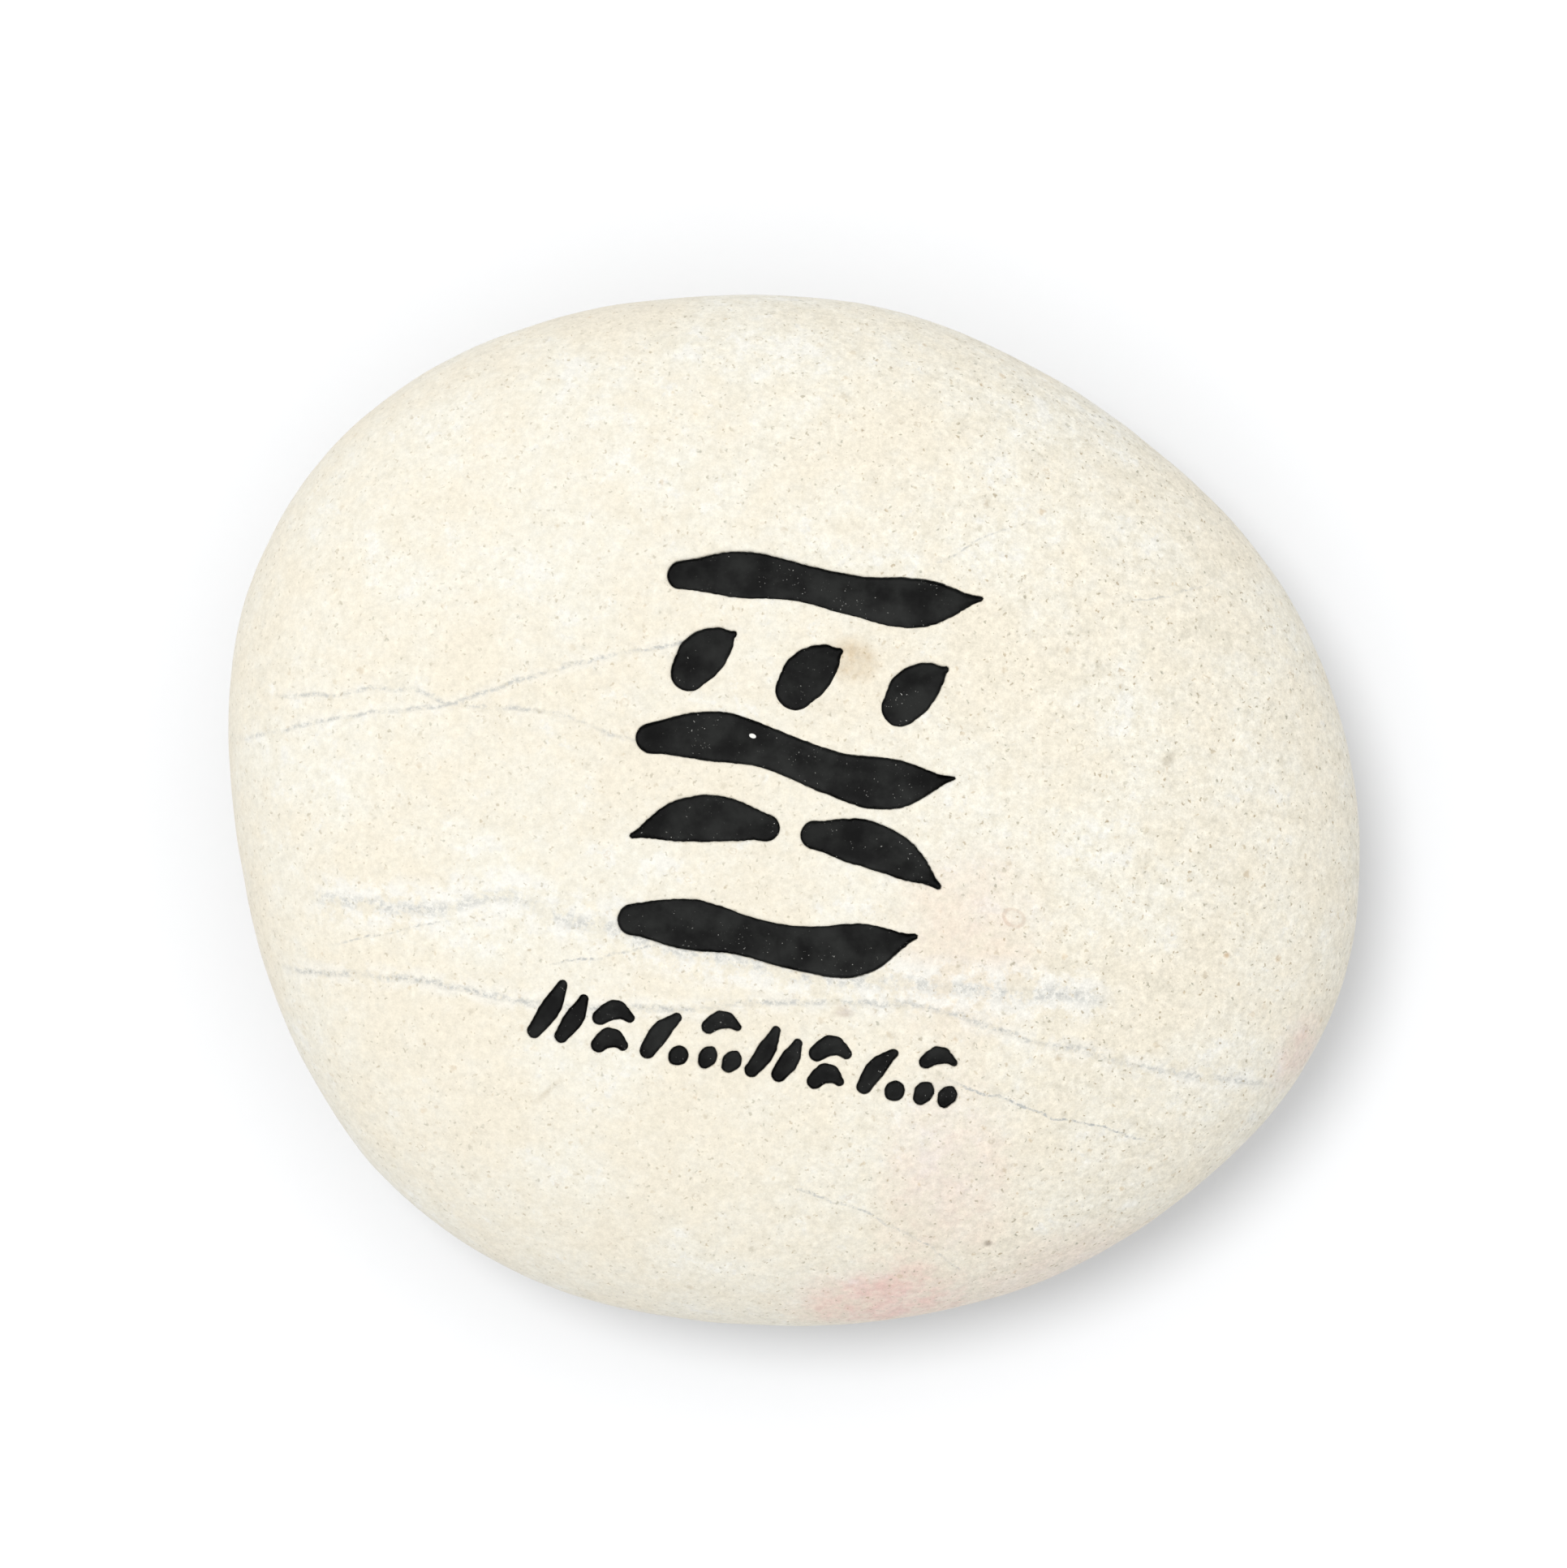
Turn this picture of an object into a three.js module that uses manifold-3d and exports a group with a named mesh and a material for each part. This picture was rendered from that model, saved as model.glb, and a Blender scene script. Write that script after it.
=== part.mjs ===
// An engraved river pebble: one palm-sized, water-rounded stone that lies on its flatter side.
// Five rows of broad brush-like strokes and one row of short dashes are sunk into its upper face.
// Millimetres, +Z up, the longest way along X, the origin under the middle of the stone.

import * as THREE from "three";
import { mergeVertices } from "three/addons/utils/BufferGeometryUtils.js";
import Module from "manifold-3d";

// Driving dimensions of the stone. Azimuths are in degrees from +X towards +Y.
const THICKNESS = 25;
const RIM_REACH = [33.8, 33.7, 35.9, 37.2, 36.3, 34.3, 33.8, 35.5, 35.9, 37.5, 38.7, 35.6];
const RIM_SHOULDER = { reach: 0.9, azimuth: -10, spread: 16 };
const WAIST_HEIGHT = 11;
const WAIST_LEAN = { rise: 0.9, azimuth: 150 };
const WAIST_TWIST = { rise: 0.5, azimuth: 35 };
const CROWN_FULLNESS = 3.2;
const CROWN_SOFT_SIDE = { drop: 0.5, azimuth: -40 };
const BELLY_FULLNESS = 2.5;
const FLAT_SPOT_SHARE = 0.32;

// Driving dimensions of the engraving.
const BROAD_DEPTH = 1.2;
const SHORT_DEPTH = 0.8;

// The broad strokes, row by row. Each row's strokes stand a pitch apart about the middle.
// Bow lifts a stroke's middle, sway waves it once, and facing strokes are mirror images.
const BROAD_ROWS = [
  { y: 14.8, count: 1, length: 19.0, width: 3.1, lean: 5, bow: -0.2, sway: 0.5, habit: "sweep" },
  { y: 9.4, count: 3, pitch: 6.8, length: 3.75, width: 3.0, lean: 50, bow: 0.3, habit: "drop" },
  { y: 3.8, count: 1, length: 19.4, width: 3.2, lean: 2, bow: -0.25, sway: 0.8, habit: "sweep" },
  { y: -1.85, count: 2, pitch: 11.4, length: 8.45, width: 3.0, lean: 13, bow: 0.8, habit: "leaf",
    facing: true },
  { y: -7.1, count: 1, length: 17.9, width: 3.35, lean: 6, bow: -0.95, sway: 0.5, habit: "sweep" },
];

// The row of short marks: its foot, its middle, the pitch of its marks and the width of a dash.
const SHORT_ROW = { foot: -16.8, middle: -0.3, pitch: 3.48, count: 8, width: 1.3 };
const FIRST_MARK_STRETCH = 1.2;

// The groups of dashes that take turns along the short row, placed from each mark's foot.
const MARKS = [
  [
    { x: -0.8, y: 1.95, length: 2.9, lean: 68, bow: -0.12 },
    { x: 0.8, y: 1.65, length: 2.3, lean: 68, bow: -0.12 },
  ],
  [
    { x: 0, y: 2.45, length: 1.9, lean: 8, bow: 0.5 },
    { x: 0, y: 0.65, length: 1.55, lean: 8, bow: 0.5 },
  ],
  [
    { x: -0.35, y: 1.9, length: 2.8, lean: 58, bow: 0.2 },
    { x: 0.9, y: 0.75, length: 0.5, lean: 50, bow: 0 },
  ],
  [
    { x: -0.1, y: 3.0, length: 1.8, lean: 8, bow: 0.45 },
    { x: -0.75, y: 1.0, length: 0.85, lean: 68, bow: 0 },
    { x: 0.8, y: 1.0, length: 0.85, lean: 68, bow: 0 },
  ],
];

// How a stroke swells and tapers from its start to its end, as shares of its full width.
const HABITS = {
  sweep: [0.62, 1.0, 0.8, 0.86, 1.0, 0.1],
  drop: [0.8, 1.0, 0.72, 0.16],
  leaf: [0.14, 0.86, 1.0, 0.62],
  dash: [0.78, 1.0, 0.5],
};

// Fineness of the facets, and the heights between which the cutting prisms run.
const SECTORS = 66;
const RINGS = 34;
const BROAD_STEP = 1.0;
const SHORT_STEP = 0.6;
const FEWEST_STEPS = 3;
const CAP_STEPS = 5;
const TINY = 1e-9;
const WELD = 1e-4;
const CUTTER_FOOT = 0.6 * THICKNESS;
const CUTTER_HEAD = 1.2 * THICKNESS;

const radians = THREE.MathUtils.degToRad;

// Share of the whole that one of count evenly spaced values has at a turn away from it,
// for the smoothest closed wave through them all.
function waveShare(turn, count) {
  const slope = count * Math.tan(turn / 2);
  return Math.abs(slope) < TINY ? 1 : Math.sin((count * turn) / 2) / slope;
}

// Distance from the middle to the rim: the wave through the twelve reaches, which stand at the
// hours of a clock face, clockwise from twelve o'clock at +Y, and a low shoulder on it.
function rimReach(azimuth) {
  const hours = RIM_REACH.length;
  const wave = RIM_REACH.reduce((sum, reach, hour) => {
    const turn = azimuth - Math.PI / 2 + (hour * 2 * Math.PI) / hours;
    return sum + reach * waveShare(turn, hours);
  }, 0);
  const away = 1 - Math.cos(azimuth - radians(RIM_SHOULDER.azimuth));
  const width = 1 - Math.cos(radians(RIM_SHOULDER.spread));
  return wave + RIM_SHOULDER.reach * Math.exp(-away / width);
}

// Height of the widest line round the stone.
function waistHeight(azimuth) {
  const lean = WAIST_LEAN.rise * Math.cos(azimuth - radians(WAIST_LEAN.azimuth));
  const twist = WAIST_TWIST.rise * Math.cos(2 * (azimuth - radians(WAIST_TWIST.azimuth)));
  return WAIST_HEIGHT + lean + twist;
}

// Height of the upper face at a share of the way out to the rim.
function crownHeight(azimuth, share) {
  const soft = CROWN_SOFT_SIDE.drop * Math.cos(azimuth - radians(CROWN_SOFT_SIDE.azimuth));
  const waist = waistHeight(azimuth);
  const swell = Math.sqrt(Math.max(0, 1 - share ** (CROWN_FULLNESS - soft)));
  return waist + (THICKNESS - waist) * swell;
}

// Height of the underside, which is flat in the middle where the stone rests.
function bellyHeight(azimuth, share) {
  const out = Math.max(0, share - FLAT_SPOT_SHARE) / (1 - FLAT_SPOT_SHARE);
  return waistHeight(azimuth) * (1 - Math.sqrt(Math.max(0, 1 - out ** BELLY_FULLNESS)));
}

// The bare stone: a ball whose points are moved out onto the pebble's surface.
function pebbleGeometry() {
  const geometry = new THREE.SphereGeometry(1, SECTORS, RINGS).rotateX(Math.PI / 2);
  const points = geometry.attributes.position;
  const point = new THREE.Vector3();
  for (let i = 0; i < points.count; i++) {
    point.fromBufferAttribute(points, i);
    const azimuth = Math.atan2(point.y, point.x);
    const share = Math.min(1, Math.hypot(point.x, point.y));
    const height = point.z > 0 ? crownHeight(azimuth, share) : bellyHeight(azimuth, share);
    const reach = share * rimReach(azimuth);
    points.setXYZ(i, reach * Math.cos(azimuth), reach * Math.sin(azimuth), height);
  }
  geometry.computeBoundingBox();
  const middle = geometry.boundingBox.getCenter(new THREE.Vector3());
  return geometry.translate(-middle.x, -middle.y, 0);
}

// The broad strokes of all the rows.
function broadStrokes() {
  return BROAD_ROWS.flatMap(({ count, pitch = 0, facing = false, ...stroke }) => {
    return Array.from({ length: count }, (_, i) => {
      const x = (i - (count - 1) / 2) * pitch;
      const mirrored = facing && x > 0;
      return { ...stroke, x, lean: mirrored ? -stroke.lean : stroke.lean, turned: mirrored };
    });
  });
}

// The dashes of all the marks in the short row. The first mark stands a little taller.
function shortStrokes() {
  const { foot, middle, pitch, count, width } = SHORT_ROW;
  return Array.from({ length: count }, (_, i) => {
    const start = middle + (i - (count - 1) / 2) * pitch;
    const stretch = i === 0 ? FIRST_MARK_STRETCH : 1;
    return MARKS[i % MARKS.length].map(({ x, y, length, ...dash }) => {
      const size = { x: start + x, y: foot + stretch * y, length: stretch * length, width };
      return { ...dash, ...size, habit: "dash" };
    });
  }).flat();
}

// Place, heading and half width of a stroke at a share of its length.
function stationOn(stroke, share) {
  const { x, y, length, width, lean, bow = 0, sway = 0, habit, turned = false } = stroke;
  const swell = new THREE.SplineCurve(HABITS[habit].map((value, i) => new THREE.Vector2(i, value)));
  const angle = Math.PI * share;
  const aside = bow * Math.sin(angle) + sway * Math.sin(2 * angle);
  const drift = Math.PI * (bow * Math.cos(angle) + 2 * sway * Math.cos(2 * angle));
  const place = new THREE.Vector2((share - 0.5) * length, aside);
  place.rotateAround(new THREE.Vector2(), radians(lean)).add(new THREE.Vector2(x, y));
  return {
    place,
    heading: radians(lean) + Math.atan2(drift, length),
    half: (width / 2) * swell.getPoint(turned ? 1 - share : share).y,
  };
}

// A point on the edge of a stroke, at an angle from the heading of a station on it.
function edgePoint({ place, heading, half }, angle) {
  const way = heading + angle;
  return new THREE.Vector2(place.x + half * Math.cos(way), place.y + half * Math.sin(way));
}

// Closed outline of a stroke: up one side, round the end, back down the other, round the start.
function strokeShape(stroke, step) {
  const steps = Math.max(FEWEST_STEPS, Math.round(stroke.length / step));
  const stations = Array.from({ length: steps + 1 }, (_, i) => stationOn(stroke, i / steps));
  const capAngles = Array.from({ length: CAP_STEPS - 1 }, (_, i) => {
    return Math.PI / 2 - (Math.PI * (i + 1)) / CAP_STEPS;
  });
  const start = stations[0];
  const end = stations[steps];
  const there = stations.map((station) => edgePoint(station, Math.PI / 2));
  const roundEnd = capAngles.map((angle) => edgePoint(end, angle));
  const back = stations.map((station) => edgePoint(station, -Math.PI / 2)).reverse();
  const roundStart = capAngles.map((angle) => edgePoint(start, angle + Math.PI));
  return new THREE.Shape([...there, ...roundEnd, ...back, ...roundStart]);
}

const wasm = await Module();
wasm.setup();

// A closed three.js geometry as a solid that can be cut.
function solidOf(geometry) {
  const bare = geometry.clone();
  bare.deleteAttribute("normal");
  bare.deleteAttribute("uv");
  const merged = mergeVertices(bare, WELD);
  const vertProperties = new Float32Array(merged.attributes.position.array);
  const triVerts = new Uint32Array(merged.index.array);
  return new wasm.Manifold(new wasm.Mesh({ numProp: 3, vertProperties, triVerts }));
}

// A solid as a three.js geometry.
function geometryOf(solid) {
  const { vertProperties, triVerts } = solid.getMesh();
  const geometry = new THREE.BufferGeometry();
  geometry.setAttribute("position", new THREE.BufferAttribute(vertProperties, 3));
  geometry.setIndex(new THREE.BufferAttribute(triVerts, 1));
  geometry.computeVertexNormals();
  return geometry;
}

// Upright strokes without what lies under the stone's upper face lowered by a depth, so that
// the floor of the engraving runs parallel to that face.
function engravingCutter(strokes, step, depth) {
  const shapes = strokes.map((stroke) => strokeShape(stroke, step));
  const settings = { depth: CUTTER_HEAD - CUTTER_FOOT, bevelEnabled: false };
  const prisms = new THREE.ExtrudeGeometry(shapes, settings).translate(0, 0, CUTTER_FOOT);
  const lowered = pebbleGeometry().translate(0, 0, -depth);
  return solidOf(prisms).subtract(solidOf(lowered));
}

// The whole stone with both parts of its engraving.
function engravedPebble() {
  const engraved = solidOf(pebbleGeometry())
    .subtract(engravingCutter(broadStrokes(), BROAD_STEP, BROAD_DEPTH))
    .subtract(engravingCutter(shortStrokes(), SHORT_STEP, SHORT_DEPTH));
  const stone = new THREE.MeshStandardMaterial({ color: 0xf3eede, roughness: 0.55, metalness: 0 });
  const mesh = new THREE.Mesh(geometryOf(engraved), stone);
  mesh.name = "engraved_pebble";
  return mesh;
}

const part = new THREE.Group();
part.add(engravedPebble());

export default part;
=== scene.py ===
"""An engraved river pebble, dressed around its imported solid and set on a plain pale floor.

The stone's sizes are in millimetres and degrees, and become metres only where a mesh or a shader takes
them. +X runs along the rows of the engraving, +Y to its top, and +Z up out of the engraved face.
"""

import logging
import math
from collections.abc import Callable, Sequence
from dataclasses import dataclass, field, replace
from enum import Enum
from typing import Any

import bmesh
import bpy
import numpy as np
from mathutils import Matrix, Vector, noise


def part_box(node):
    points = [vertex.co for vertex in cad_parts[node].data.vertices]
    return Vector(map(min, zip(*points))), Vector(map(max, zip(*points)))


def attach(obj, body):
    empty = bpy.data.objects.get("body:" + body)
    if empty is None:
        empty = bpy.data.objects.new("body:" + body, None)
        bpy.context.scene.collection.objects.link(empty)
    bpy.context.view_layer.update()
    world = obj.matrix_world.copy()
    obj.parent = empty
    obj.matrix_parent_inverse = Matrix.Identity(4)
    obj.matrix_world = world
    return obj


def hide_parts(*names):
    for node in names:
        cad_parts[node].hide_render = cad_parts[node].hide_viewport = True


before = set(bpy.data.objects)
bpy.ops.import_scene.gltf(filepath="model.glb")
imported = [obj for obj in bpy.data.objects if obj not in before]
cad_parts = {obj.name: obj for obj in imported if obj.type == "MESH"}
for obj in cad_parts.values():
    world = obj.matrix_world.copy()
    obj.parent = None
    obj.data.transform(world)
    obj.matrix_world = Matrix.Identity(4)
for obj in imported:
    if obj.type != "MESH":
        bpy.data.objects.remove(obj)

MM = 0.001
NODE = "engraved_pebble"
BODY = "root"
GAP_LAYER = "engraving_gap"
STATION_PITCH = 0.45
FEWEST_STATIONS = 6
FIELD_REACH = 40.0
NOISE_MIDDLE = 0.5
WHITE = (1.0, 1.0, 1.0)

Array = np.ndarray
Colour = tuple[float, float, float]
Place = tuple[float, float, float]
Span = tuple[float, float]
Settings = dict[str, Any] | None
Sockets = dict[str | int, Any] | None

log = logging.getLogger("pebble")


def linear(red: int, green: int, blue: int) -> Colour:
    """Turns a colour as seen on a screen into the linear light that shaders use.

    Args:
        red: Red from 0 to 255.
        green: Green from 0 to 255.
        blue: Blue from 0 to 255.

    Returns:
        The three channels as linear values from 0 to 1.
    """
    shares = (channel / 255 for channel in (red, green, blue))
    return tuple(s / 12.92 if s <= 0.04045 else ((s + 0.055) / 1.055) ** 2.4 for s in shares)


def put(name: str, data: bpy.types.ID) -> bpy.types.Object:
    """Puts an object into the scene.

    Args:
        name: Its name.
        data: Its mesh, light or camera.

    Returns:
        The object.
    """
    made = bpy.data.objects.new(name, data)
    bpy.context.scene.collection.objects.link(made)
    return made


def as_data(mesh: bmesh.types.BMesh, name: str, material: bpy.types.Material) -> bpy.types.Mesh:
    """Turns a finished mesh into an object's data.

    Args:
        mesh: The mesh, which is freed.
        name: The data's name.
        material: Its material.

    Returns:
        The data.
    """
    data = bpy.data.meshes.new(name)
    mesh.to_mesh(data)
    mesh.free()
    data.materials.append(material)
    return data


class Habit(Enum):
    """How a stroke swells and tapers from its start to its end, as shares of its full width."""

    SWEEP = (0.62, 1.0, 0.8, 0.86, 1.0, 0.1)
    DROP = (0.8, 1.0, 0.72, 0.16)
    LEAF = (0.14, 0.86, 1.0, 0.62)
    DASH = (0.78, 1.0, 0.5)

    def swell(self, share: Array) -> Array:
        """Follows a smooth curve through the habit's values.

        Args:
            share: Places along the stroke, from 0 at its start to 1 at its end.

        Returns:
            The share of the full width at each place.
        """
        values = np.array(self.value)
        last = len(values) - 1
        step = np.minimum((share * last).astype(int), last - 1)
        part = share * last - step
        before, start = values[np.maximum(step - 1, 0)], values[step]
        end, after = values[step + 1], values[np.minimum(step + 2, last)]
        leave, arrive = (end - before) / 2, (after - start) / 2
        cubic = 2 * start - 2 * end + leave + arrive
        square = 3 * end - 3 * start - 2 * leave - arrive
        return ((cubic * part + square) * part + leave) * part + start


@dataclass(frozen=True)
class Stroke:
    """One engraved stroke, laid flat: its middle, its size and the way it bends.

    Bow lifts the stroke's middle and sway waves it once. A turned stroke starts with its end's width.
    """

    habit: Habit
    length: float
    width: float
    x: float = 0.0
    y: float = 0.0
    lean: float = 0.0
    bow: float = 0.0
    sway: float = 0.0
    turned: bool = False

    def stations(self, count: int) -> Array:
        """Places evenly spaced along the stroke.

        Args:
            count: How many places.

        Returns:
            One row for each place: x, y and half the width there.
        """
        share = np.linspace(0, 1, count)
        forward = (share - 0.5) * self.length
        aside = self.bow * np.sin(np.pi * share) + self.sway * np.sin(2 * np.pi * share)
        lean = math.radians(self.lean)
        x = self.x + forward * math.cos(lean) - aside * math.sin(lean)
        y = self.y + forward * math.sin(lean) + aside * math.cos(lean)
        half = self.width / 2 * self.habit.swell(1 - share if self.turned else share)
        return np.column_stack([x, y, half])

    def gap(self, points: Array) -> Array:
        """Measures how far points are from the stroke's edge.

        Args:
            points: One row of x and y for each.

        Returns:
            The distances, below zero inside the stroke.
        """
        stations = self.stations(max(FEWEST_STATIONS, round(self.length / STATION_PITCH)))
        start, end = stations[:-1], stations[1:]
        along = end[:, :2] - start[:, :2]
        away = points[:, None, :] - start[None, :, :2]
        share = np.clip((away * along).sum(-1) / (along**2).sum(-1), 0, 1)
        off = np.linalg.norm(away - share[..., None] * along, axis=-1)
        half = start[:, 2] + share * (end[:, 2] - start[:, 2])
        return (off - half).min(axis=1)


@dataclass(frozen=True)
class Row:
    """A row of like strokes, a pitch apart about the middle. Facing strokes are mirror images."""

    stroke: Stroke
    count: int = 1
    pitch: float = 0.0
    facing: bool = False

    def strokes(self) -> list[Stroke]:
        """Lists the row's strokes.

        Returns:
            The strokes from left to right.
        """
        made = []
        for i in range(self.count):
            x = (i - (self.count - 1) / 2) * self.pitch
            mirrored = self.facing and x > 0
            lean = -self.stroke.lean if mirrored else self.stroke.lean
            made.append(replace(self.stroke, x=x, lean=lean, turned=mirrored))
        return made


@dataclass(frozen=True)
class Engraving:
    """The two groups of strokes sunk into the stone, and the profile of their sunken sides."""

    broad_depth: float = 1.2
    short_depth: float = 0.8
    rows: tuple[Row, ...] = (
        Row(Stroke(Habit.SWEEP, 19.0, 3.1, y=14.8, lean=5, bow=-0.2, sway=0.5)),
        Row(Stroke(Habit.DROP, 3.75, 3.0, y=9.4, lean=50, bow=0.3), count=3, pitch=6.8),
        Row(Stroke(Habit.SWEEP, 19.4, 3.2, y=3.8, lean=2, bow=-0.25, sway=0.8)),
        Row(Stroke(Habit.LEAF, 8.45, 3.0, y=-1.85, lean=13, bow=0.8), count=2, pitch=11.4, facing=True),
        Row(Stroke(Habit.SWEEP, 17.9, 3.35, y=-7.1, lean=6, bow=-0.95, sway=0.5)),
    )
    foot: float = -16.8
    middle: float = -0.3
    mark_pitch: float = 3.48
    mark_count: int = 8
    dash_width: float = 1.3
    first_stretch: float = 1.2
    # The dashes of each mark: x, y above the foot, length, lean and bow.
    marks: tuple[tuple[tuple[float, float, float, float, float], ...], ...] = (
        ((-0.8, 1.95, 2.9, 68, -0.12), (0.8, 1.65, 2.3, 68, -0.12)),
        ((0, 2.45, 1.9, 8, 0.5), (0, 0.65, 1.55, 8, 0.5)),
        ((-0.35, 1.9, 2.8, 58, 0.2), (0.9, 0.75, 0.5, 50, 0)),
        ((-0.1, 3.0, 1.8, 8, 0.45), (-0.75, 1.0, 0.85, 68, 0), (0.8, 1.0, 0.85, 68, 0)),
    )
    # From the floor up to the worn lip: the gap to the stroke's edge and the share of the depth there.
    profile: tuple[Span, ...] = (
        *((-1.7, 1.03), (-1.1, 1.0), (-0.7, 0.96), (-0.35, 0.89), (-0.14, 0.81)),
        *((-0.06, 0.64), (-0.02, 0.1), (0.04, 0.012), (0.16, 0.0)),
    )
    # The gaps along which the mesh gets a line of edges.
    levels: tuple[float, ...] = (0.16, 0.04, -0.02, -0.06, -0.14, -0.35)
    # How far the blasted edge strays from the drawn one, and over what length.
    ragged: tuple[Span, ...] = ((0.05, 1.7), (0.035, 0.6), (0.02, 0.28))

    def broad(self) -> list[Stroke]:
        """Lists the strokes of the broad rows."""
        return [stroke for row in self.rows for stroke in row.strokes()]

    def short(self) -> list[Stroke]:
        """Lists the dashes of the short row. Each mark's dashes are placed from its foot.

        Returns:
            The dashes from left to right.
        """
        made = []
        for i in range(self.mark_count):
            start = self.middle + (i - (self.mark_count - 1) / 2) * self.mark_pitch
            stretch = self.first_stretch if i == 0 else 1.0
            for x, y, length, lean, bow in self.marks[i % len(self.marks)]:
                place = {"x": start + x, "y": self.foot + stretch * y, "lean": lean, "bow": bow}
                made.append(Stroke(Habit.DASH, stretch * length, self.dash_width, **place))
        return made

    def gaps(self, points: Array) -> tuple[Array, Array]:
        """Measures points against both groups of strokes.

        Args:
            points: One row of x and y for each.

        Returns:
            The distances from the nearest edge, below zero inside a stroke, and the depths there.
        """
        broad = np.min([stroke.gap(points) for stroke in self.broad()], axis=0)
        short = np.min([stroke.gap(points) for stroke in self.short()], axis=0)
        depth = np.where(short < broad, self.short_depth, self.broad_depth)
        return np.minimum(broad, short), depth

    def raggedness(self, point: Vector) -> float:
        """How far the blasted edge strays from the drawn one at a place."""
        return sum(reach * noise.noise(point / size) for reach, size in self.ragged)

    def sunken(self, gap: Array, depth: Array) -> Array:
        """Depth below the stone's face, from the gap to the nearest stroke and that stroke's full depth."""
        gaps, shares = zip(*self.profile)
        return depth * np.interp(gap, gaps, shares)


@dataclass(frozen=True)
class PebbleForm:
    """The bare stone, as heights over its outline. Azimuths run from +X towards +Y.

    The reaches of the rim stand at the hours of a clock face, clockwise from twelve o'clock at +Y. A pair
    is a height or a fullness, and the azimuth where it tells most.
    """

    thickness: float = 25.0
    rim_reach: tuple[float, ...] = (33.8, 33.7, 35.9, 37.2, 36.3, 34.3, 33.8, 35.5, 35.9, 37.5, 38.7, 35.6)
    shoulder_reach: float = 0.9
    shoulder_azimuth: float = -10.0
    shoulder_spread: float = 16.0
    waist: float = 11.0
    waist_lean: Span = (0.9, 150.0)
    waist_twist: Span = (0.5, 35.0)
    crown_fullness: float = 3.2
    crown_soft_side: Span = (0.5, -40.0)
    belly_fullness: float = 2.5
    flat_spot_share: float = 0.32
    outline_steps: int = 721
    tiny_slope: float = 1e-9

    def rim(self, azimuth: Array) -> Array:
        """Distance from the middle to the rim: a closed wave through the reaches, and a low shoulder on it.

        Args:
            azimuth: Directions from the middle.

        Returns:
            The distance in each direction.
        """
        hours = len(self.rim_reach)
        reach = np.zeros_like(azimuth)
        for hour, value in enumerate(self.rim_reach):
            turn = azimuth - np.pi / 2 + hour * 2 * np.pi / hours
            slope = hours * np.tan(turn / 2)
            near = np.abs(slope) < self.tiny_slope
            reach += value * np.where(near, 1, np.sin(hours * turn / 2) / np.where(near, 1, slope))
        away = 1 - np.cos(azimuth - math.radians(self.shoulder_azimuth))
        width = 1 - math.cos(math.radians(self.shoulder_spread))
        return reach + self.shoulder_reach * np.exp(-away / width)

    def waist_height(self, azimuth: Array) -> Array:
        """Height of the widest line round the stone.

        Args:
            azimuth: Directions from the middle.

        Returns:
            The height in each direction.
        """
        lean, lean_azimuth = self.waist_lean
        twist, twist_azimuth = self.waist_twist
        leaning = lean * np.cos(azimuth - math.radians(lean_azimuth))
        return self.waist + leaning + twist * np.cos(2 * (azimuth - math.radians(twist_azimuth)))

    def crown(self, azimuth: Array, share: Array) -> Array:
        """Height of the upper face.

        Args:
            azimuth: Directions from the middle.
            share: Shares of the way out to the rim.

        Returns:
            The height at each place.
        """
        drop, soft_azimuth = self.crown_soft_side
        fullness = self.crown_fullness - drop * np.cos(azimuth - math.radians(soft_azimuth))
        waist = self.waist_height(azimuth)
        return waist + (self.thickness - waist) * np.sqrt(np.maximum(0, 1 - share**fullness))

    def belly(self, azimuth: Array, share: Array) -> Array:
        """Height of the underside, as for the crown. It is flat in the middle, where the stone rests."""
        out = np.maximum(0, share - self.flat_spot_share) / (1 - self.flat_spot_share)
        return self.waist_height(azimuth) * (1 - np.sqrt(np.maximum(0, 1 - out**self.belly_fullness)))

    def middle(self) -> Array:
        """Middle of the outline's box, which becomes the origin.

        Returns:
            Its x and y.
        """
        azimuth = np.linspace(0, 2 * np.pi, self.outline_steps)
        outline = self.rim(azimuth) * np.array([np.cos(azimuth), np.sin(azimuth)])
        return (outline.min(axis=1) + outline.max(axis=1)) / 2

    def from_ball(self, ball: Array) -> Array:
        """Moves the points of a ball out onto the stone.

        Args:
            ball: One row for each point of a ball of radius 1.

        Returns:
            The same points on the stone's surface.
        """
        azimuth = np.arctan2(ball[:, 1], ball[:, 0])
        share = np.minimum(1, np.hypot(ball[:, 0], ball[:, 1]))
        upper = ball[:, 2] > 0
        height = np.where(upper, self.crown(azimuth, share), self.belly(azimuth, share))
        reach = share * self.rim(azimuth)
        flat = np.column_stack([reach * np.cos(azimuth), reach * np.sin(azimuth)]) - self.middle()
        return np.column_stack([flat, height])

    def face_height(self, points: Array) -> Array:
        """Height of the upper face above places inside the outline.

        Args:
            points: One row for each place, which starts with x and y.

        Returns:
            The height at each place.
        """
        flat = points[:, :2] + self.middle()
        azimuth = np.arctan2(flat[:, 1], flat[:, 0])
        share = np.minimum(1, np.hypot(flat[:, 0], flat[:, 1]) / self.rim(azimuth))
        return self.crown(azimuth, share)


@dataclass(frozen=True)
class WaterWear:
    """The gentle unevenness that tumbling leaves on the whole stone: heights and sizes of its waves."""

    waves: tuple[Span, ...] = ((0.16, 13.0), (0.07, 5.5), (0.03, 2.2))
    calm_height: float = 2.5

    def height(self, point: Vector) -> float:
        """How far the surface stands proud at a place. The flat spot underneath stays flat."""
        swell = sum(reach * noise.noise(point / size) for reach, size in self.waves)
        return swell * min(1.0, max(0.0, point.z / self.calm_height))


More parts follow.
